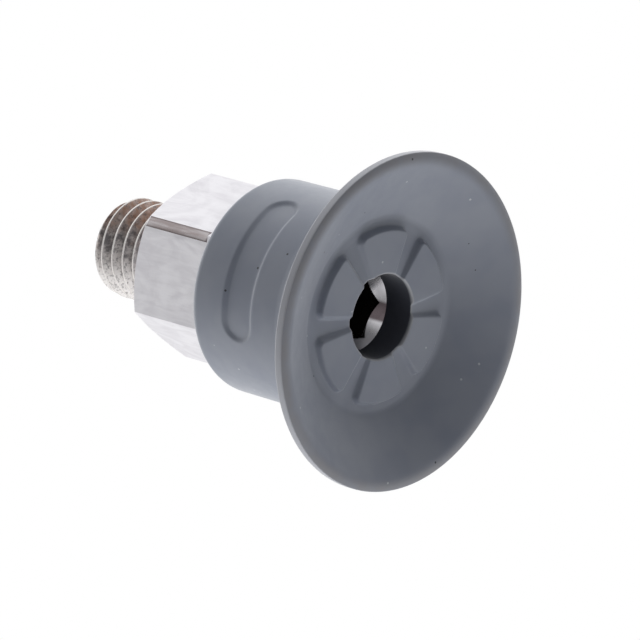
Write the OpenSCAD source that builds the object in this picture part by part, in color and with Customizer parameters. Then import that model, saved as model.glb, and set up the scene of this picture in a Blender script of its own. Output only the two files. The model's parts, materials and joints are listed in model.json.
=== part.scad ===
// Vacuum suction cup: a moulded elastomer cup pushed onto a machined connection nipple.
// The sealing rim lies in the plane z = 0 and the thread points along +Z.

/* [Cup] */
// Outside diameter of the sealing lip
cup_d = 40; // [36:1:50]
// Outside diameter of the neck
neck_d = 25.4; // [24:0.2:27]
// Height of the neck's upper face above the rim
neck_top = 22; // [20:0.5:26]
// Rounding of the neck's upper edge
neck_round = 1; // [0.4:0.1:1.5]

/* [Sealing lip] */
// Thickness of the lip's outer edge
lip_edge = 0.9; // [0.3:0.1:1]
// Width of the rounded land between the sealing crest and the outer edge
land_w = 1.1; // [0.6:0.1:1.6]
// Height of that land
land_h = 0.2; // [0.1:0.05:0.8]
// Width of the flat sealing crest
crest_w = 0.5; // [0.2:0.1:0.6]
// Height of the lip's root above the rim, on its upper side
lip_root = 6.6; // [5.5:0.1:8]

/* [Support pads] */
// Number of raised pads inside the cup
pad_count = 6; // [3:1:8]
// Distance from the rim plane up to the pads' faces
pad_depth = 3.4; // [2.8:0.1:4]
// Height of the pads above the recessed floor
pad_h = 0.75; // [0.6:0.05:1.2]
// Outside diameter of the ring of pads
pad_d = 20.6; // [18:0.2:22]
// Angular width of the radial grooves between the pads
groove_deg = 15; // [10:1:24]
// Depth of the grooves at the bore; at the pads' outer edge it is the pads' height
groove_inner_h = 0.35; // [0.3:0.05:0.6]
// Angle of the first groove from +X
groove_angle = 10; // [0:1:59]
// Diameter of the recessed floor around the pads
floor_d = 23; // [21:0.2:24]
// Diameter of the suction bore in the rubber
bore_d = 10; // [9.4:0.1:10.4]
// Rounding of the pads' edges
pad_round = 0.25; // [0.2:0.05:0.3]

/* [Nipple] */
// Height of the metal end face above the rim
end_face = 7.7; // [7:0.1:8.5]
// Outside diameter of the thread
thread_d = 12; // [12:1:12]
// Thread pitch
thread_pitch = 1.75; // [1.5:0.25:1.75]
// Length of the threaded end
thread_len = 11.1; // [10:0.1:16]
// Length of the plain shank between the hexagon and the thread
shank_len = 0.5; // [0.4:0.1:2]
// Hexagon width across flats
hex_af = 19; // [18:1:19]
// Length of the hexagon
hex_len = 12.5; // [10:0.5:14]
// Depth of the narrow flat cut along one corner of the hexagon
hex_cut = 0.4; // [0.2:0.05:0.8]
// Length of that corner left uncut beside the rubber
hex_uncut_len = 2; // [0.5:0.1:3]
// Angle of the hexagon's first corner from +X
hex_angle = 108.6; // [0:0.1:120]
// Hexagon socket width across flats
socket_af = 8; // [7:0.5:8]
// Depth of the socket below the metal end face
socket_depth = 9; // [7:0.5:10]
// Diameter of the vacuum bore
vacuum_d = 6; // [5:0.5:6]

/* [Nipple inside the rubber] */
// Diameter of the spigot
spigot_d = 15; // [14:0.2:16]
// Diameter of the retaining collar
collar_d = 18.4; // [17:0.2:19]
// Distance from the metal end face to the collar's shoulder
collar_top = 5.8; // [5:0.1:7]

/* [Hidden] */
$fn = 96;
eps = 0.01;
// Overshoot of a cutting shape past what it cuts
margin = 1;
rubber_colour = [0.48, 0.50, 0.55];
metal_colour = [0.86, 0.86, 0.88];

cup_r = cup_d / 2;
neck_r = neck_d / 2;
bore_r = bore_d / 2;
floor_r = floor_d / 2;
floor_z = pad_depth + pad_h;
crest_outer_r = cup_r - land_w;
crest_inner_r = crest_outer_r - crest_w;
// Height of the cup's inner cone at radius r
function cone_z(r) = floor_z * (crest_inner_r - r) / (crest_inner_r - floor_r);

// Gap that lets the lip flex past the neck
lip_gap = 0.3;
lip_inner_r = neck_r + lip_gap;

spigot_r = spigot_d / 2;
collar_r = collar_d / 2;
collar_shoulder_z = end_face + collar_top;
collar_foot_z = collar_shoulder_z - 3.2;
collar_land = 0.8;

hex_top = neck_top + hex_len;
hex_corner_r = hex_af / 2 / cos(30);
hex_chamfer_r = 9.4;
hex_chamfer_slope = tan(30);

thread_r = thread_d / 2;
thread_depth = 0.6134 * thread_pitch;
thread_root_r = thread_r - thread_depth;
thread_flat = thread_pitch / 8;
thread_chamfer = 0.75;
total_h = hex_top + thread_len;
shank_fillet = 0.2;
groove_count = floor((thread_len - shank_len) / thread_pitch);

socket_corner_r = socket_af / 2 / cos(30);
socket_angle = groove_angle + 0.5;
countersink_r = bore_r + 0.05;
socket_floor_z = end_face + socket_depth;
vacuum_r = vacuum_d / 2;
vacuum_chamfer = 0.5;

// Half section of the spigot and its retaining collar, as the rubber grips it
module spigot_section() {
    polygon([
        [0, end_face],
        [spigot_r, end_face],
        [spigot_r, collar_foot_z],
        [collar_r, collar_shoulder_z - collar_land],
        [collar_r, collar_shoulder_z],
        [spigot_r, collar_shoulder_z],
        [spigot_r, neck_top],
        [0, neck_top]
    ]);
}

// Half section of the threaded end, from the fillet at the hexagon to the end chamfer
module thread_section() {
    polygon([
        [0, hex_top - eps],
        [thread_r + shank_fillet, hex_top - eps],
        [thread_r + shank_fillet, hex_top],
        [thread_r, hex_top + shank_fillet],
        [thread_r, total_h - thread_chamfer],
        [thread_r - thread_chamfer, total_h],
        [0, total_h]
    ]);
}

// Half section of one V-groove of the thread, centred on z = 0
module thread_groove() {
    half_mouth = (thread_pitch - thread_flat) / 2;
    half_root = thread_flat / 2;
    polygon([
        [thread_r + eps, -half_mouth],
        [thread_r + eps, half_mouth],
        [thread_root_r, half_root],
        [thread_root_r, -half_root]
    ]);
}

// Hexagon with a chamfered top and a narrow flat cut along the corner opposite its first one
module hexagon() {
    outside_r = hex_corner_r + margin;
    cut_w = hex_corner_r / 2;
    difference() {
        intersection() {
            translate([0, 0, neck_top])
                rotate([0, 0, hex_angle])
                    cylinder(h = hex_len, r = hex_corner_r, $fn = 6);
            rotate_extrude()
                polygon([
                    [0, neck_top],
                    [outside_r, neck_top],
                    [outside_r, hex_top - (outside_r - hex_chamfer_r) * hex_chamfer_slope],
                    [hex_chamfer_r, hex_top],
                    [0, hex_top]
                ]);
        }
        rotate([0, 0, hex_angle + 180])
            translate([hex_corner_r - hex_cut, -cut_w / 2, neck_top + hex_uncut_len])
                cube([hex_cut + margin, cut_w, hex_len]);
    }
}

// Countersunk hexagon socket and vacuum bore
module nipple_bore() {
    countersink_h = countersink_r;
    translate([0, 0, end_face])
        rotate([0, 0, socket_angle])
            cylinder(h = socket_depth, r = socket_corner_r, $fn = 6);
    rotate_extrude()
        polygon([
            [0, end_face - eps],
            [countersink_r, end_face - eps],
            [countersink_r, end_face],
            [0, end_face + countersink_h]
        ]);
    translate([0, 0, socket_floor_z - eps])
        cylinder(h = total_h - socket_floor_z + 2 * eps, r = vacuum_r);
    rotate_extrude()
        polygon([
            [0, total_h - vacuum_chamfer],
            [vacuum_r, total_h - vacuum_chamfer],
            [vacuum_r + vacuum_chamfer, total_h],
            [vacuum_r + vacuum_chamfer, total_h + eps],
            [0, total_h + eps]
        ]);
}

module nipple() {
    color(metal_colour)
        difference() {
            union() {
                rotate_extrude() spigot_section();
                hexagon();
                rotate_extrude() thread_section();
            }
            for (i = [0 : groove_count - 1])
                translate([0, 0, total_h - (i + 0.5) * thread_pitch])
                    rotate_extrude() thread_groove();
            nipple_bore();
        }
}

// Half section of the neck and sole, before the spigot's cavity and the grooves
module cup_section() {
    difference() {
        union() {
            polygon([
                [bore_r, pad_depth + pad_round],
                [bore_r + pad_round, pad_depth],
                [pad_d / 2 - pad_round, pad_depth],
                [pad_d / 2, pad_depth + pad_round],
                [pad_d / 2, floor_z],
                [floor_r, floor_z],
                [neck_r, cone_z(neck_r)],
                [neck_r, neck_top - neck_round],
                [neck_r - neck_round, neck_top - neck_round],
                [neck_r - neck_round, neck_top],
                [bore_r, neck_top]
            ]);
            translate([neck_r - neck_round, neck_top - neck_round]) circle(r = neck_round);
        }
        spigot_section();
    }
}

// Section along one groove, whose floor rises from the recessed floor to the bore
module groove_section() {
    polygon([
        [bore_r - margin, pad_depth - margin],
        [pad_d / 2 + eps, pad_depth - margin],
        [pad_d / 2 + eps, floor_z],
        [bore_r, pad_depth + groove_inner_h],
        [bore_r - margin, pad_depth + groove_inner_h]
    ]);
}

module cup_body() {
    color(rubber_colour)
        difference() {
            rotate_extrude() cup_section();
            for (i = [0 : pad_count - 1])
                rotate([0, 0, groove_angle - groove_deg / 2 + i * 360 / pad_count])
                    rotate_extrude(angle = groove_deg) groove_section();
        }
}

module sealing_lip() {
    color(rubber_colour)
        rotate_extrude()
            polygon([
                [lip_inner_r, cone_z(lip_inner_r)],
                [crest_inner_r, 0],
                [crest_outer_r, 0],
                [cup_r, land_h],
                [cup_r, land_h + lip_edge],
                [lip_inner_r, lip_root]
            ]);
}

nipple();
cup_body();
sealing_lip();
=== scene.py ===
"""A vacuum suction cup: one rubber moulding with a flexing lip, pushed onto a machined metal nipple."""

import json
import math

import bmesh
import bpy
import numpy as np
from mathutils import Matrix, Vector


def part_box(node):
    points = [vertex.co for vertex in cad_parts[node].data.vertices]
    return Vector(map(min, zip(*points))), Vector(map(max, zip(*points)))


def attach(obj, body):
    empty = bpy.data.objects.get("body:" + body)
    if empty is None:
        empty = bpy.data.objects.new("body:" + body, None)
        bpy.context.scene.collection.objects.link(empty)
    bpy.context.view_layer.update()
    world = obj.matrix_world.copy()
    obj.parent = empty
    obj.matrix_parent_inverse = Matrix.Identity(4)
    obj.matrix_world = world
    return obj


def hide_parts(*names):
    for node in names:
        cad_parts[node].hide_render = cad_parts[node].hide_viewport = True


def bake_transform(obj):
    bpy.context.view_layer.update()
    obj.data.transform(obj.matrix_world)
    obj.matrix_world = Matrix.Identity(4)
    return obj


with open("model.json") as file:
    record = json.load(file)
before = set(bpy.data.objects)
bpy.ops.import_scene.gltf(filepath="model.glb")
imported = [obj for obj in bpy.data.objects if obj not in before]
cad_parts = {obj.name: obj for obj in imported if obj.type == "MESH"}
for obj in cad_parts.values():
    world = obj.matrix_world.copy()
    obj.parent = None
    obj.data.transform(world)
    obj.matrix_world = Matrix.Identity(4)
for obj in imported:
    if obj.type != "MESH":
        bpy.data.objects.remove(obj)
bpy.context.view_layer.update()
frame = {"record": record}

# Profiles are worked out in millimetres, and MM scales them when a mesh is made.
MM = 0.001
nipple_low, nipple_high = (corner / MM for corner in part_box("nipple"))
body_low, body_high = (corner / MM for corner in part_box("cup_body"))
lip_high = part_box("sealing_lip")[1] / MM
TURN = 2 * math.pi

# Rubber neck and lip
RIM_R = lip_high.x
NECK_R = body_high.x
NECK_TOP = body_high.z
NECK_ROUND = 1.0
NECK_FOOT_R = NECK_R + 0.1
NECK_FILLET = 3.0
CONE_FOOT_R = RIM_R - 1.65
# The cone and the rim's wall would be joined by this corner, and its fillet brings it up to the rim's plane
CREST_CORNER_R = RIM_R - 1.25
CREST_CORNER_Z = -0.17
CREST_FILLET = 1.7
EDGE_R = RIM_R - 0.2
EDGE_FOOT = 0.2
EDGE_FOOT_ROUND = 0.1
EDGE_TOP = 1.13
EDGE_TOP_ROUND = 0.25
LIP_ROOT_R = NECK_R + 0.3
LIP_ROOT_Z = lip_high.z
LIP_TO_NECK = 2  # width of the curve between the lip's back and the neck's foot
NECK_TOP_INNER_R = 9.0

# Pads inside the cup
PAD_Z = body_low.z
PAD_H = 0.75  # at the pads' outer edge
PAD_H_AT_BORE = 0.36
PAD_R = 10.3
PAD_WALL = 0.5
PAD_CORNER = 1.4
FLOOR_R = 11.5
PAD_RINGS_END_R = FLOOR_R + 0.5
CONE_START_R = FLOOR_R + 0.6
FLOOR_BLEND = 0.25
BORE_R = 5.0
BORE_ROUND = 0.25
GROOVES = 6
SECTOR = TURN / GROOVES
GROOVE_ANGLE = math.radians(10)  # middle of the first groove
GROOVE_HALF_ANGLE = math.radians(7.5)
GROOVE_WALL = 0.6

# Plain recess on the neck
PANEL_ANGLE = math.radians(-82)
PANEL_Z = 14.4
PANEL_HALF_LENGTH = 9.3
PANEL_HALF_WIDTH = 2.1
PANEL_DEPTH = 0.32
PANEL_WALL = 0.5

# Metal nipple
END_FACE = nipple_low.z
THREAD_END = nipple_high.z
THREAD_R = frame["record"]["mounts"][0]["dims"]["r_mm"]
PITCH = 1.75
THREAD_DEPTH = 0.6134 * PITCH
THREAD_CREST_Z = 43.87
RUN_OUT_FROM = 0.3
RUN_OUT_LENGTH = 1.2
SHANK_FILLET = 0.2
END_CHAMFER = 0.75
VACUUM_R = 3.0
VACUUM_CHAMFER = 0.5
HEX_FLAT_R = 9.5
HEX_CUT_R = 10.58
HEX_COLLAR_TOP = NECK_TOP + 1.6
HEX_TOP = NECK_TOP + 12.5
HEX_CHAMFER_R = 9.4
HEX_CHAMFER_SLOPE = math.tan(math.radians(30))
HEX_ANGLE = math.radians(48.6)
HEX_CUT_ANGLE = HEX_ANGLE - math.radians(120)
NEAR_CUT = 0.9  # the cut lies where the cosine of the angle to its middle is above this
SOCKET_FLAT_R = 3.87
SOCKET_ANGLE = math.radians(10.5)
SOCKET_FLOOR = END_FACE + 9.0
COUNTERSINK_R = 5.05
# Height from which painted shade fills the socket
SOCKET_SHADE_FROM = END_FACE + COUNTERSINK_R - SOCKET_FLAT_R + 0.05
SPIGOT_R = 7.5
COLLAR_R = 9.2
COLLAR_SHOULDER = END_FACE + 5.8
COLLAR_LAND = 0.8
COLLAR_H = 3.2

# Mesh lines, in millimetres and radians
RING_STEP = 0.1
LIP_STEP = 0.4
NECK_STEP = 0.2
CAVITY_STEP = 3
ARC_STEP = math.radians(11)
STEP_SLACK = 0.01  # share of a step by which a whole run may be too long
NIPPLE_LINES = 120
NIPPLE_LINE_GAP = math.radians(0.8)
MERGE_DISTANCE = 1e-7  # metres
RUBBER_SHARP_DEGREES = 50
METAL_SHARP_DEGREES = 35


def smooth(t):
    """Smooth step from 0 to 1."""
    t = np.clip(t, 0, 1)
    return t * t * (3 - 2 * t)


def soft_min(a, b, width):
    """The smaller of a and b, rounded over where they are within width of each other."""
    share = np.clip(0.5 + 0.5 * (b - a) / width, 0, 1)
    return b + (a - b) * share - width * share * (1 - share)


def arc_points(here, back, ahead, fillet):
    """The arc that rounds a corner at here, from the run towards back to the run towards ahead."""
    back = (back - here) / np.linalg.norm(back - here)
    ahead = (ahead - here) / np.linalg.norm(ahead - here)
    turn = math.pi - math.acos(back @ ahead)
    cut = fillet * math.tan(turn / 2)
    middle = (back + ahead) / np.linalg.norm(back + ahead)
    centre = here + middle * fillet / math.cos(turn / 2)
    start, end = here + back * cut - centre, here + ahead * cut - centre
    count = max(3, round(turn / ARC_STEP))
    for t in np.linspace(0, 1, count + 1):
        yield centre + (math.sin((1 - t) * turn) * start + math.sin(t * turn) * end) / math.sin(turn)


def rounded(corners, step):
    """Points along corners (radius, height, fillet), with straight runs cut into pieces of at most step."""
    points = [np.array(corner[:2], float) for corner in corners]
    path = [points[0]]
    for i in range(1, len(corners) - 1):
        fillet = corners[i][2]
        path += arc_points(points[i], points[i - 1], points[i + 1], fillet) if fillet else [points[i]]
    path.append(points[-1])
    fine = [path[0]]
    for a, b in zip(path, path[1:]):
        count = max(1, math.ceil(np.linalg.norm(b - a) / step - STEP_SLACK))
        fine += [a + (b - a) * k / count for k in range(1, count + 1)]
    return fine


def closed_surface(name, rings, helix=(0, 0, 0)):
    """A closed mesh from rings of (radius, angle, height), each joined to the next and the last to the first.

    helix is (first ring, last ring, rings in one pitch): a ring in that range meets the one a pitch
    further on where it comes round to its start.
    """
    shape = rings[0][1].shape
    radius = np.array([np.broadcast_to(ring[0], shape) for ring in rings])
    angle = np.array([np.broadcast_to(ring[1], shape) for ring in rings])
    height = np.array([np.broadcast_to(ring[2], shape) for ring in rings])
    points = np.stack([radius * np.cos(angle), radius * np.sin(angle), height], -1) * MM
    index = np.arange(radius.size).reshape(radius.shape)
    beside = np.roll(index, -1, 1)
    first, last, lead = helix
    for k in range(first, last):
        beside[k, -1] = index[min(k + lead, last), 0]
    quads = np.stack([index, beside, np.roll(beside, -1, 0), np.roll(index, -1, 0)], -1)
    mesh = bpy.data.meshes.new(name)
    mesh.from_pydata(points.reshape(-1, 3).tolist(), [], quads.reshape(-1, 4).tolist())
    tidy = bmesh.new()
    tidy.from_mesh(mesh)
    bmesh.ops.remove_doubles(tidy, verts=tidy.verts, dist=MERGE_DISTANCE)
    bmesh.ops.dissolve_degenerate(tidy, edges=tidy.edges, dist=MERGE_DISTANCE)
    bmesh.ops.recalc_face_normals(tidy, faces=tidy.faces)
    tidy.to_mesh(mesh)
    tidy.free()
    obj = bpy.data.objects.new(name, mesh)
    bpy.context.scene.collection.objects.link(obj)
    return obj


def shade(obj, sharp_degrees):
    """Smooth shading that keeps the edges sharper than an angle crisp."""
    obj.data.polygons.foreach_set("use_smooth", [True] * len(obj.data.polygons))
    obj.data.set_sharp_from_angle(angle=math.radians(sharp_degrees))


# Rubber cup

LINES_IN_GROOVE = 30
LINES_BETWEEN = 45
GROOVE_LINES_HALF = math.radians(12)


def spoke_angles():
    """Angles of the mesh lines: close together across each groove, and even in between."""
    across = np.linspace(-GROOVE_LINES_HALF, GROOVE_LINES_HALF, LINES_IN_GROOVE)
    between = np.linspace(GROOVE_LINES_HALF, SECTOR - GROOVE_LINES_HALF, LINES_BETWEEN + 2)[1:-1]
    one_sector = np.concatenate([across, between]) + GROOVE_ANGLE
    return np.concatenate([one_sector + i * SECTOR for i in range(GROOVES)])


SPOKES = spoke_angles()


def pad_cover(radius, angle):
    """1 on a pad's face, 0 on the floor round the pads and in the grooves, with soft walls between.

    Distances are counted in wall widths, and the pads' outer corners are rounded.
    """
    from_groove = (angle - GROOVE_ANGLE + SECTOR / 2) % SECTOR - SECTOR / 2
    from_side = radius * np.sin(np.abs(from_groove) - GROOVE_HALF_ANGLE) / GROOVE_WALL
    from_edge = (PAD_R - radius) / PAD_WALL
    near_side = np.maximum(PAD_CORNER - from_side, 0)
    near_edge = np.maximum(PAD_CORNER - from_edge, 0)
    inside = PAD_CORNER - np.hypot(near_side, near_edge)
    return smooth(inside + 0.5)


def underside(radius, angle):
    """Height of the cup's inner face: floor and cone, less the pads, which stand out least at the bore."""
    share = np.clip((radius - BORE_R) / (PAD_R - BORE_R), 0, 1)
    pad_h = PAD_H_AT_BORE + (PAD_H - PAD_H_AT_BORE) * share
    floor = PAD_Z + PAD_H
    cone = floor * (CONE_FOOT_R - radius) / (CONE_FOOT_R - FLOOR_R)
    bare = soft_min(floor, cone, FLOOR_BLEND) - PAD_H + pad_h
    return bare - pad_h * pad_cover(radius, angle)


def bore_rings():
    """The suction bore from the metal end face down, and the round edge where it meets the pads."""
    edge = underside(BORE_R, SPOKES) + BORE_ROUND
    for share in np.linspace(0, 1, 12)[:-1]:
        yield BORE_R, SPOKES, END_FACE + (edge - END_FACE) * share
    for turn in np.linspace(0, math.pi / 2, 7):
        radius = BORE_R + BORE_ROUND * (1 - math.cos(turn))
        yield radius, SPOKES, underside(radius, SPOKES) + BORE_ROUND * (1 - math.sin(turn))


def pad_rings():
    """The pads, grooves and floor."""
    for radius in np.arange(BORE_R + BORE_ROUND + RING_STEP, PAD_RINGS_END_R, RING_STEP):
        yield radius, SPOKES, underside(radius, SPOKES)


def panel_depth(angle, height):
    """Depth of the plain recess on the neck."""
    along = (angle - PANEL_ANGLE + math.pi) % TURN - math.pi
    past_middle = np.maximum(np.abs(along * NECK_R) - PANEL_HALF_LENGTH + PANEL_HALF_WIDTH, 0)
    outside = np.hypot(past_middle, height - PANEL_Z) - PANEL_HALF_WIDTH
    return PANEL_DEPTH * smooth(0.5 - outside / PANEL_WALL)


def outer_rings():
    """The cone, sealing crest, lip, neck and its top face."""
    back_slope = (LIP_ROOT_Z - EDGE_TOP) / (RIM_R - LIP_ROOT_R)
    root_z = EDGE_TOP + back_slope * (RIM_R - NECK_FOOT_R)
    lip = [
        (CONE_START_R, float(underside(CONE_START_R, 0.0)), 0),
        (CREST_CORNER_R, CREST_CORNER_Z, CREST_FILLET),
        (EDGE_R, EDGE_FOOT, EDGE_FOOT_ROUND),
        (EDGE_R, EDGE_TOP, EDGE_TOP_ROUND),
        (NECK_FOOT_R + LIP_TO_NECK, root_z - LIP_TO_NECK * back_slope, 0),
    ]
    neck = [
        lip[-1],
        (NECK_FOOT_R, root_z, NECK_FILLET),
        (NECK_R, NECK_TOP, NECK_ROUND),
        (NECK_TOP_INNER_R, NECK_TOP, 0),
    ]
    for radius, height in rounded(lip, LIP_STEP) + rounded(neck, NECK_STEP)[1:]:
        yield radius - panel_depth(SPOKES, height) * (radius > NECK_R - 0.1), SPOKES, height


def cavity_rings():
    """The inside of the neck, which grips the spigot and its collar."""
    corners = [
        (SPIGOT_R, NECK_TOP, 0),
        (SPIGOT_R, COLLAR_SHOULDER, 0),
        (COLLAR_R, COLLAR_SHOULDER, 0),
        (COLLAR_R, COLLAR_SHOULDER - COLLAR_LAND, 0),
        (SPIGOT_R, COLLAR_SHOULDER - COLLAR_H, 0),
        (SPIGOT_R, END_FACE, 0),
    ]
    for radius, height in rounded(corners, CAVITY_STEP):
        yield radius, SPOKES, height


def rubber_cup():
    """The rubber moulding, one skin that stands for both the cup body and the lip."""
    rings = [*bore_rings(), *pad_rings(), *outer_rings(), *cavity_rings()]
    cup = closed_surface("rubber_cup", rings)
    shade(cup, RUBBER_SHARP_DEGREES)
    cup.data.materials.append(rubber_material())
    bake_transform(cup)
    flex_like_a_lip(cup)
    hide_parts("cup_body", "sealing_lip")


def flex_like_a_lip(cup):
    """Reads the cup's vertex positions into an array and changes nothing."""
    points = np.empty(len(cup.data.vertices) * 3)
    cup.data.vertices.foreach_get("co", points)


# Metal nipple


def polygon_radius(angle, first_corner, flat_r):
    """Radius of a hexagon at an angle."""
    from_flat = (angle - first_corner) % (math.pi / 3) - math.pi / 6
    return flat_r / np.cos(from_flat)


def nipple_angles():
    """Even mesh lines, with one on every corner of the hexagon and socket and both edges of the cut."""
    corner_r = HEX_FLAT_R / math.cos(math.pi / 6)
    cut_half = math.atan((corner_r - HEX_CUT_R) * math.tan(math.pi / 3) / HEX_CUT_R)
    corners = [corner + i * math.pi / 3 for corner in (HEX_ANGLE, SOCKET_ANGLE) for i in range(6)]
    corners += [HEX_CUT_ANGLE - cut_half, HEX_CUT_ANGLE + cut_half]
    special = np.sort(np.array(corners) % TURN)
    even = np.linspace(0, TURN, NIPPLE_LINES, endpoint=False)
    apart = np.abs((even[:, None] - special + math.pi) % TURN - math.pi).min(1)
    return np.sort(np.concatenate([special, even[apart > NIPPLE_LINE_GAP]]))


# Half of the thread's profile: share of a pitch from the crest's middle, and share of the full depth there
PROFILE_AT = [0, 0.045, 0.075, 0.25, 0.43, 0.47, 0.5]
PROFILE_DEPTH = [0, 0, 0.04, 0.5, 0.95, 1, 1]


def thread_rings(angle):
    """The helical thread, in rings that follow the helix, from the shank's fillet to the end face."""
    half = np.array(PROFILE_AT)
    phases = np.concatenate([half[:-1], 1 - half[:0:-1]])
    low, high = HEX_TOP + SHANK_FILLET, THREAD_END
    crest_z = THREAD_CREST_Z + PITCH * (angle + math.pi / 2) / TURN
    # A turn rises by a pitch on its way round, so there are spare ones at both ends, clipped flat
    lowest_turn = math.floor((low - THREAD_CREST_Z) / PITCH) - 2
    turns = math.ceil((high - low) / PITCH) + 3
    for turn in range(lowest_turn, lowest_turn + turns):
        for phase in phases:
            height = np.clip(crest_z + (turn + phase) * PITCH, low, high)
            past_crest = (height - crest_z) / PITCH % 1
            share = np.interp(np.minimum(past_crest, 1 - past_crest), PROFILE_AT, PROFILE_DEPTH)
            run_out = smooth((height - low - RUN_OUT_FROM) / RUN_OUT_LENGTH)
            cut = THREAD_R - THREAD_DEPTH * share * run_out
            yield np.minimum(cut, THREAD_R - (height - high + END_CHAMFER)), angle, height


def spigot_rings(angle):
    """The spigot and its retaining collar, from the end face up to the hexagon."""
    return [
        (SPIGOT_R, angle, END_FACE),
        (SPIGOT_R, angle, COLLAR_SHOULDER - COLLAR_H),
        (COLLAR_R, angle, COLLAR_SHOULDER - COLLAR_LAND),
        (COLLAR_R, angle, COLLAR_SHOULDER),
        (SPIGOT_R, angle, COLLAR_SHOULDER),
        (SPIGOT_R, angle, NECK_TOP),
    ]


def hexagon_rings(angle):
    """The hexagon with its one cut corner, which stops short of the rubber, and its chamfered top."""
    full = polygon_radius(angle, HEX_ANGLE, HEX_FLAT_R)
    from_cut = np.cos(angle - HEX_CUT_ANGLE)
    flattened = np.minimum(full, HEX_CUT_R / np.maximum(from_cut, NEAR_CUT))
    cut = np.where(from_cut > NEAR_CUT, flattened, full)
    chamfer_z = HEX_TOP - (cut - HEX_CHAMFER_R) * HEX_CHAMFER_SLOPE
    return [
        (full, angle, NECK_TOP),
        (full, angle, HEX_COLLAR_TOP),
        (cut, angle, HEX_COLLAR_TOP),
        (cut, angle, chamfer_z),
        (HEX_CHAMFER_R, angle, HEX_TOP),
        (THREAD_R + SHANK_FILLET, angle, HEX_TOP),
    ]


def bore_and_socket_rings(angle):
    """The vacuum bore, the hexagon socket and its countersink, from the thread's end down."""
    socket = polygon_radius(angle, SOCKET_ANGLE, SOCKET_FLAT_R)
    return [
        (VACUUM_R + VACUUM_CHAMFER, angle, THREAD_END),
        (VACUUM_R, angle, THREAD_END - VACUUM_CHAMFER),
        (VACUUM_R, angle, SOCKET_FLOOR),
        (socket, angle, SOCKET_FLOOR),
        (socket, angle, END_FACE + COUNTERSINK_R - socket),
        (COUNTERSINK_R, angle, END_FACE),
    ]


def nipple_rings():
    """Every ring of the nipple, and the helix's first ring, last ring and rings in a pitch."""
    angle = nipple_angles()
    below = spigot_rings(angle) + hexagon_rings(angle)
    thread = list(thread_rings(angle))
    first, last = len(below), len(below) + len(thread) - 1
    return below + thread + bore_and_socket_rings(angle), (first, last, 2 * (len(PROFILE_AT) - 1))


TURNED, DRAWN, THREAD = 0, 1, 2

# How near a face has to be to count as one kind, in millimetres, and the most a flat's normal may rise
ABOVE_HEX = 0.01
INSIDE_CHAMFER = 0.02
FLAT_TOLERANCE = 0.05
STEEPEST_FLAT = 0.1


def metal_finish(centre, normal):
    """Which of the nipple's finishes a face has: turned, drawn on the hexagon's flats, or thread."""
    radius = math.hypot(centre.x, centre.y)
    chamfer_r = THREAD_R - (centre.z - THREAD_END + END_CHAMFER)
    in_thread = VACUUM_R + VACUUM_CHAMFER < radius < chamfer_r - INSIDE_CHAMFER
    if in_thread and centre.z > HEX_TOP + ABOVE_HEX:
        return THREAD
    upright = abs(normal.z) < STEEPEST_FLAT
    on_flat = upright and abs(centre @ normal - HEX_FLAT_R) < FLAT_TOLERANCE
    return DRAWN if on_flat and centre.z > NECK_TOP else TURNED


def nipple():
    """The machined metal nipple, with a finish for each kind of face."""
    rings, helix = nipple_rings()
    metal = closed_surface("connection_nipple", rings, helix)
    shade(metal, METAL_SHARP_DEGREES)
    for material in (turned_material(), drawn_material(), thread_material()):
        metal.data.materials.append(material)
    for face in metal.data.polygons:
        face.material_index = metal_finish(face.center / MM, face.normal)
    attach(metal, "holder")
    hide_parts("nipple")


# Materials


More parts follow.
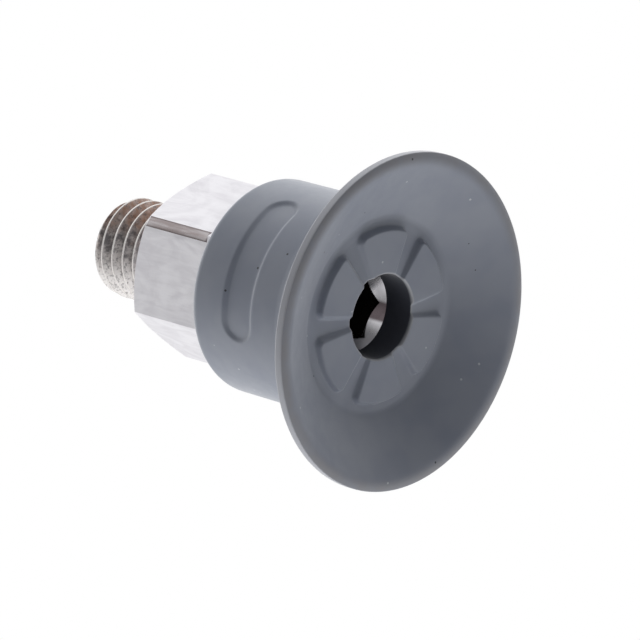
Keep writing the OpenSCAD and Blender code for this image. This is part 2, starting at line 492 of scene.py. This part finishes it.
class Surface:
    """A material being built: its node tree, its Principled shader and a few node shorthands."""

    def __init__(self, name):
        self.material = bpy.data.materials.new(name)
        self.material.use_nodes = True
        self.tree = self.material.node_tree
        self.shader = self.tree.nodes["Principled BSDF"]
        self.place = self.tree.nodes.new("ShaderNodeTexCoord").outputs["Object"]

    def node(self, kind, inputs=(), **settings):
        """A node with settings, whose inputs are values or other nodes' outputs."""
        made = self.tree.nodes.new(kind)
        for key, value in settings.items():
            setattr(made, key, value)
        for key, value in dict(inputs).items():
            self.feed(value, made.inputs[key])
        return made

    def feed(self, value, socket):
        if isinstance(value, bpy.types.NodeSocket):
            self.tree.links.new(value, socket)
        else:
            socket.default_value = value

    def set(self, **values):
        """Numbers, colours or outputs for the shader's inputs, with _ for the spaces in their names."""
        for key, value in values.items():
            self.feed(value, self.shader.inputs[key.replace("_", " ")])

    def noise(self, per_mm, detail=3.0, roughness=0.55, stretch=(1, 1, 1), distortion=0.0):
        """Noise of so many lumps per millimetre, stretched along the axes, from 0 to 1."""
        scaled = self.node("ShaderNodeMapping", {"Vector": self.place, "Scale": stretch}).outputs[0]
        inputs = {"Vector": scaled, "Scale": per_mm / MM, "Detail": detail}
        inputs.update({"Roughness": roughness, "Distortion": distortion})
        return self.node("ShaderNodeTexNoise", inputs).outputs["Fac"]

    def math(self, operation, a, b=0.0, clamp=False):
        made = self.node("ShaderNodeMath", operation=operation, use_clamp=clamp)
        self.feed(a, made.inputs[0])
        self.feed(b, made.inputs[1])
        return made.outputs[0]

    def spread(self, value, low, high, to_low=0.0, to_high=1.0):
        """Value from low..high to to_low..to_high, smoothly and held at the ends."""
        inputs = {"Value": value, "From Min": low, "From Max": high, "To Min": to_low, "To Max": to_high}
        return self.node("ShaderNodeMapRange", inputs, interpolation_type="SMOOTHSTEP").outputs[0]

    def blend(self, share, first, second):
        """A colour that goes from first to second as share goes from 0 to 1."""
        made = self.node("ShaderNodeMix", data_type="RGBA")
        self.feed(share, made.inputs["Factor"])
        self.feed(first, made.inputs[6])
        self.feed(second, made.inputs[7])
        return made.outputs[2]

    def bump(self, height, depth_mm, under=None):
        """Bump of a depth in millimetres, on top of another bump."""
        inputs = {"Height": height, "Distance": depth_mm * MM, "Strength": 1.0}
        if under:
            inputs["Normal"] = under
        return self.node("ShaderNodeBump", inputs).outputs[0]

    def radius_mm(self):
        """Distance from the object's axis in millimetres."""
        flat = self.node("ShaderNodeVectorMath", {0: self.place, 1: (1, 1, 0)}, operation="MULTIPLY")
        length = self.node("ShaderNodeVectorMath", {0: flat.outputs[0]}, operation="LENGTH")
        return self.math("DIVIDE", length.outputs["Value"], MM)

    def axis_mm(self, name):
        """X, Y or Z in millimetres."""
        parts = self.node("ShaderNodeSeparateXYZ", {0: self.place})
        return self.math("DIVIDE", parts.outputs[name], MM)


RUBBER = (0.225, 0.246, 0.302, 1)
RUBBER_LIGHT = (0.250, 0.270, 0.322, 1)
RUBBER_WORN = (0.242, 0.244, 0.266, 1)
# Painted highlight: a lighter colour all round the rim's outer wall
RIM_WALL_PAINTED_HIGHLIGHT = (0.36, 0.37, 0.41, 1)
DUST = (0.60, 0.62, 0.65, 1)
PIT = (0.05, 0.05, 0.06, 1)
# Painted shade for the bore's wall, and a painted highlight for its rounded edge
BORE_PAINTED_SHADE = (0.058, 0.063, 0.082, 1)
BORE_EDGE_PAINTED_HIGHLIGHT = (0.38, 0.39, 0.42, 1)
SPECK_CELLS_PER_MM = 0.5
SPECK_SIZE = 0.07  # as a share of a cell


def rubber_material():
    """Matt moulded rubber: cloudy colour, a worn rim, dust and pits, a painted highlight on the rim's outer
    wall, and painted shade in the bore with a painted highlight on its edge.
    """
    s = Surface("rubber")
    radius = s.radius_mm()
    colour = s.blend(s.spread(s.noise(0.16, detail=2), 0.35, 0.65), RUBBER, RUBBER_LIGHT)
    near_rim = s.spread(radius, RIM_R - 2.0, RIM_R - 0.6)
    patchy = s.spread(s.noise(0.4, detail=4), 0.25, 0.6, to_low=0.4)
    colour = s.blend(s.math("MULTIPLY", near_rim, patchy), colour, RUBBER_WORN)
    # Painted highlight: the rim's outer wall is made lighter all round
    colour = s.blend(s.spread(radius, EDGE_R - 0.1, EDGE_R - 0.04), colour, RIM_WALL_PAINTED_HIGHLIGHT)
    colour = with_specks(s, colour)
    # Painted highlight: a lighter ring on the bore's rounded edge, within BORE_R + 0.1 and fading out by
    # BORE_R + 0.25
    painted_highlight_on_bore_edge = s.spread(radius, BORE_R + 0.1, BORE_R + 0.25, to_low=1.0, to_high=0.0)
    # Painted shade: the bore's wall, from just above the pads upwards, is coloured near-black
    on_wall = s.math("LESS_THAN", radius, BORE_R + 0.03)
    painted_shade_in_bore = s.math("MULTIPLY", on_wall, s.spread(s.axis_mm("Z"), PAD_Z + 0.2, PAD_Z + 0.6))
    s.set(Base_Color=s.blend(painted_shade_in_bore, s.blend(painted_highlight_on_bore_edge, colour, BORE_EDGE_PAINTED_HIGHLIGHT), BORE_PAINTED_SHADE))
    s.set(Roughness=s.spread(s.noise(0.8, detail=5), 0.3, 0.7, to_low=0.44, to_high=0.56))
    s.set(Specular_IOR_Level=0.45, Sheen_Weight=0.5, Sheen_Roughness=0.3)
    skin = s.bump(s.noise(3.0, detail=2, roughness=0.5), 0.003)
    s.set(Normal=s.bump(s.noise(0.4, detail=1), 0.008, skin))
    return s.material


def with_specks(s, colour):
    """A colour with specks of light dust and dark pits scattered over it."""
    inputs = {"Vector": s.place, "Scale": SPECK_CELLS_PER_MM / MM, "Randomness": 1.0}
    cells = s.node("ShaderNodeTexVoronoi", inputs)
    pick = s.node("ShaderNodeSeparateColor", {0: cells.outputs["Color"]})
    spot = s.math("LESS_THAN", cells.outputs["Distance"], SPECK_SIZE)
    dust = s.math("MULTIPLY", spot, s.math("GREATER_THAN", pick.outputs[0], 0.7))
    pit = s.math("MULTIPLY", spot, s.math("GREATER_THAN", pick.outputs[1], 0.75))
    dusty = s.blend(s.math("MULTIPLY", dust, 0.6), colour, DUST)
    return s.blend(pit, dusty, PIT)


ALUMINIUM = (0.885, 0.875, 0.91, 1)
ALUMINIUM_DULL = (0.75, 0.735, 0.775, 1)
# Painted shade inside the socket
SOCKET_PAINTED_SHADE = (0.012, 0.010, 0.009, 1)
CORNER_TINT = (0.54, 0.51, 0.52, 1)
CORNER_DARK = (0.36, 0.31, 0.31, 1)
CORNER_EDGE = (0.17, 0.14, 0.14, 1)
# Painted shade for metal: the corner by the collar and a patch of the countersink
METAL_PAINTED_SHADE = (0.16, 0.13, 0.14, 1)
RUST_BROWN = (0.36, 0.20, 0.13, 1)
CREST = (0.80, 0.77, 0.75, 1)
TAN = (0.60, 0.47, 0.42, 1)
FLANK_LIGHT = (0.70, 0.67, 0.66, 1)
FLANK_BRIGHT = (0.93, 0.91, 0.90, 1)
FLANK_DARK = (0.07, 0.065, 0.075, 1)


def turned_material():
    """Lathe-turned aluminium: fine rings round the axis, film on the cut corner, painted shade where the cut
    meets the collar and on a patch of the countersink, and dark, barely metallic painted shade inside the
    socket.
    """
    s = Surface("turned_aluminium")
    radius, x, y, z = s.radius_mm(), s.axis_mm("X"), s.axis_mm("Y"), s.axis_mm("Z")
    rings = s.node("ShaderNodeCombineXYZ", {0: radius, 1: z, 2: 0.0}).outputs[0]
    lines = s.node("ShaderNodeTexNoise", {"Vector": rings, "Scale": 3.5, "Detail": 2.0}).outputs["Fac"]
    colour = s.blend(lines, ALUMINIUM_DULL, ALUMINIUM)
    colour = s.blend(on_cut_corner(s, radius, z), colour, cut_corner_colour(s, x, y, z))
    # Painted shade on a patch of the countersink
    colour = s.blend(on_countersink_painted_shade(s, x, y, z), colour, METAL_PAINTED_SHADE)
    # Painted shade: inside the socket the colour is near-black and barely metallic
    within = s.math("LESS_THAN", radius, COUNTERSINK_R - 0.3)
    inside = s.math("MULTIPLY", within, s.math("GREATER_THAN", z, SOCKET_SHADE_FROM))
    s.set(Base_Color=s.blend(inside, colour, SOCKET_PAINTED_SHADE))
    s.set(Metallic=s.math("SUBTRACT", 1.0, s.math("MULTIPLY", inside, 0.9)))
    s.set(Roughness=s.spread(s.noise(0.6, detail=4), 0.3, 0.7, to_low=0.24, to_high=0.36))
    s.set(Normal=s.bump(lines, 0.004))
    return s.material


def on_cut_corner(s, radius, z):
    """1 on the hexagon's turned faces outside its flats, between the rubber and the chamfer."""
    above_neck = s.math("GREATER_THAN", z, NECK_TOP)
    past_flats = s.math("GREATER_THAN", radius, HEX_FLAT_R + 0.5)
    under_chamfer = s.math("LESS_THAN", z, HEX_TOP - 0.8)
    return s.math("MULTIPLY", s.math("MULTIPLY", above_neck, past_flats), under_chamfer)


def cut_corner_colour(s, x, y, z):
    """Streaked film with darker edges, and painted shade at its end beside the rubber, in the corner by the
    collar.
    """
    across_x = s.math("MULTIPLY", x, -math.sin(HEX_CUT_ANGLE))
    across_y = s.math("MULTIPLY", y, math.cos(HEX_CUT_ANGLE))
    from_middle = s.math("ABSOLUTE", s.math("ADD", across_x, across_y))
    streaks = s.spread(s.noise(1.6, detail=4, roughness=0.6, stretch=(1, 1, 0.12)), 0.35, 0.65)
    film = s.blend(streaks, CORNER_TINT, CORNER_DARK)
    film = s.blend(s.spread(from_middle, 0.42, 0.62, to_high=0.8), film, CORNER_EDGE)
    # Painted shade in the corner where the cut meets the collar
    return s.blend(s.spread(z, HEX_COLLAR_TOP + 0.15, HEX_COLLAR_TOP + 0.5), METAL_PAINTED_SHADE, film)


def on_countersink_painted_shade(s, x, y, z):
    """1 on a patch at the +Y side of the countersink, fading out at its sides, where painted shade goes."""
    from_middle = s.math("ABSOLUTE", s.math("SUBTRACT", x, 0.55))
    narrow = s.spread(from_middle, 0.9, 1.4, to_low=1.0, to_high=0.0)
    patch = s.math("MULTIPLY", s.spread(y, 2.4, 3.4), narrow)
    return s.math("MULTIPLY", s.math("LESS_THAN", z, END_FACE + 2.0), patch)


def drawn_material():
    """Drawn hexagon bar: streaks along the flats, broken by faint curved cutter marks."""
    s = Surface("drawn_aluminium")
    streaks = s.noise(1.6, detail=3, roughness=0.6, stretch=(1, 1, 0.16), distortion=0.6)
    swirls = s.noise(0.28, detail=3, roughness=0.5, stretch=(1, 1, 0.55), distortion=2.4)
    tone = s.math("ADD", s.math("MULTIPLY", streaks, 0.35), s.math("MULTIPLY", swirls, 0.65))
    s.set(Metallic=1.0, Base_Color=s.blend(s.spread(tone, 0.3, 0.65), ALUMINIUM_DULL, ALUMINIUM))
    s.set(Roughness=s.spread(streaks, 0.3, 0.7, to_low=0.29, to_high=0.36))
    s.set(Normal=s.bump(swirls, 0.006, s.bump(streaks, 0.0006)))
    return s.material


def thread_material():
    """Used thread: bright crests over flanks with brown residue, dark blotches that gather near X = 0, and
    bare metal.
    """
    s = Surface("thread_aluminium")
    mottle = s.noise(1.3, detail=6, roughness=0.75)
    in_groove = s.spread(s.radius_mm(), THREAD_R - 0.1, THREAD_R - 0.02, to_low=1.0, to_high=0.0)
    s.set(Base_Color=s.blend(in_groove, CREST, flank_colour(s, mottle)))
    s.set(Metallic=s.spread(in_groove, 0.0, 1.0, to_low=1.0, to_high=0.5))
    s.set(Roughness=s.spread(in_groove, 0.0, 1.0, to_low=0.25, to_high=0.45))
    s.set(Normal=s.bump(mottle, 0.03))
    return s.material


def flank_colour(s, mottle):
    """Bare metal at -X, residue at +X, dark blotches that gather in a band near X = 0 between them, and dark
    specks all over.
    """
    x = s.axis_mm("X")
    blotch = s.noise(0.55, detail=4, roughness=0.6, stretch=(1, 1, 0.8))
    bare = s.blend(s.spread(x, -4.5, -1.0), FLANK_BRIGHT, FLANK_LIGHT)
    residue = s.blend(s.spread(mottle, 0.4, 0.62), RUST_BROWN, TAN)
    ragged_x = s.math("ADD", x, s.math("MULTIPLY", blotch, 9.0))
    flank = s.blend(s.spread(ragged_x, 3.6, 8.5, to_low=0.08, to_high=0.9), bare, residue)
    from_middle = s.math("ABSOLUTE", s.math("SUBTRACT", x, 0.4))
    middle = s.spread(from_middle, 0.4, 3.6, to_low=0.17, to_high=0.0)
    film = s.math("ADD", middle, s.noise(1.0, detail=5, roughness=0.7))
    film = s.spread(film, 0.54, 0.76, to_high=0.8)
    specks = s.spread(s.noise(2.6, detail=4, roughness=0.7), 0.5, 0.64, to_high=0.7)
    return s.blend(s.math("MAXIMUM", film, specks), flank, FLANK_DARK)


# Camera, light and floor, in metres

VIEW_TILT = math.radians(47.73)
VIEW_ROLL = math.radians(15.80)
VIEW_DISTANCE = 0.76
LENS_MM = 375.0
AIM_RIGHT = -0.00932
AIM_UP = 0.00025
AIM_Z = 0.45 * MM
CLIP_START = 0.05
CLIP_END = 20

back = Vector((0, -math.sin(VIEW_TILT), -math.cos(VIEW_TILT)))
along_axis = Vector((0, math.cos(VIEW_TILT), -math.sin(VIEW_TILT)))
right = math.cos(VIEW_ROLL) * along_axis + math.sin(VIEW_ROLL) * Vector((1, 0, 0))
up = math.cos(VIEW_ROLL) * Vector((1, 0, 0)) - math.sin(VIEW_ROLL) * along_axis


def add_camera():
    """The camera looks slightly up into the cup's mouth."""
    camera = bpy.data.objects.new("camera", bpy.data.cameras.new("camera"))
    camera.data.lens = LENS_MM
    camera.data.clip_start = CLIP_START
    camera.data.clip_end = CLIP_END
    place = VIEW_DISTANCE * back + AIM_RIGHT * right + AIM_UP * up + Vector((0, 0, AIM_Z))
    camera.matrix_world = Matrix.Translation(place) @ Matrix((right, up, back)).transposed().to_4x4()
    bpy.context.scene.collection.objects.link(camera)
    bpy.context.scene.camera = camera


# The light tent: brightness by direction, as (right, up, back) of the camera and strength
TENT = [
    ((-1, 0, -1), 5.8),
    ((1, 1, -1), 3.3),
    ((0, -1, 0), 3.9),
    ((0, 1, 0), 2.4),
    ((1, -1, 0), 2.2),
    ((-1, -1, 0), 1.3),
    ((0, 0, 1), 0.62),
    ((-1, 1, 0), 0.59),
    ((0, 1, -1), 3.5),
    ((0, 0, -1), 0.43),
    ((1, -1, -1), 0.26),
]
TENT_FOCUS = 8
AMBIENT = 0.02
MIRROR_GAIN = 1.65
MIRROR_LIMIT = 1.15


def world_math(tree, operation, a, b):
    """The output of a Math node whose inputs are numbers or other outputs."""
    made = tree.nodes.new("ShaderNodeMath")
    made.operation = operation
    for value, socket in ((a, made.inputs[0]), (b, made.inputs[1])):
        if isinstance(value, bpy.types.NodeSocket):
            tree.links.new(value, socket)
        else:
            socket.default_value = value
    return made.outputs[0]


def tent_panel(tree, direction, strength):
    """One broad soft panel of the light tent."""
    toward = (direction[0] * right + direction[1] * up + direction[2] * back).normalized()
    facing = tree.nodes.new("ShaderNodeVectorMath")
    facing.operation = "DOT_PRODUCT"
    tree.links.new(tree.nodes["Texture Coordinate"].outputs["Generated"], facing.inputs[0])
    facing.inputs[1].default_value = toward
    ahead = world_math(tree, "MAXIMUM", facing.outputs["Value"], 0.0)
    return world_math(tree, "MULTIPLY", world_math(tree, "POWER", ahead, TENT_FOCUS), strength)


def add_world():
    """A white backdrop for the camera, and the light tent for everything else.

    Glossy rays see the tent brighter by the gain but never past the limit, so bare metal keeps its shape.
    """
    world = bpy.data.worlds.new("studio")
    world.use_nodes = True
    tree = world.node_tree
    tree.nodes.new("ShaderNodeTexCoord")
    rays = tree.nodes.new("ShaderNodeLightPath")
    strength = AMBIENT
    for direction, amount in TENT:
        strength = world_math(tree, "ADD", strength, tent_panel(tree, direction, amount))
    mirrored = world_math(tree, "MINIMUM", world_math(tree, "MULTIPLY", strength, MIRROR_GAIN), MIRROR_LIMIT)
    change = world_math(tree, "SUBTRACT", mirrored, strength)
    change = world_math(tree, "MULTIPLY", change, rays.outputs["Is Glossy Ray"])
    backdrop, light = tree.nodes["Background"], tree.nodes.new("ShaderNodeBackground")
    backdrop.inputs["Color"].default_value = (1, 1, 1, 1)
    tree.links.new(world_math(tree, "ADD", strength, change), light.inputs["Strength"])
    mix = tree.nodes.new("ShaderNodeMixShader")
    tree.links.new(rays.outputs["Is Camera Ray"], mix.inputs["Fac"])
    tree.links.new(light.outputs[0], mix.inputs[1])
    tree.links.new(backdrop.outputs[0], mix.inputs[2])
    tree.links.new(mix.outputs[0], tree.nodes["World Output"].inputs["Surface"])
    bpy.context.scene.world = world


FLOOR_Z = -0.8
FLOOR_SIZE = 6.0
FLOOR_GREY = (0.85, 0.85, 0.85, 1)


def add_floor():
    """A pale floor, below the camera."""
    half = FLOOR_SIZE / 2
    mesh = bpy.data.meshes.new("floor")
    sides = ((-half, -half), (half, -half), (half, half), (-half, half))
    mesh.from_pydata([(x, y, FLOOR_Z) for x, y in sides], [], [(0, 1, 2, 3)])
    s = Surface("floor")
    s.set(Base_Color=FLOOR_GREY, Roughness=0.8)
    mesh.materials.append(s.material)
    floor = bpy.data.objects.new("floor", mesh)
    bpy.context.scene.collection.objects.link(floor)
    floor.visible_diffuse = False
    floor.visible_glossy = False
    floor.visible_shadow = False


bpy.context.scene.view_settings.view_transform = "Standard"
add_camera()
rubber_cup()
nipple()
add_floor()
add_world()
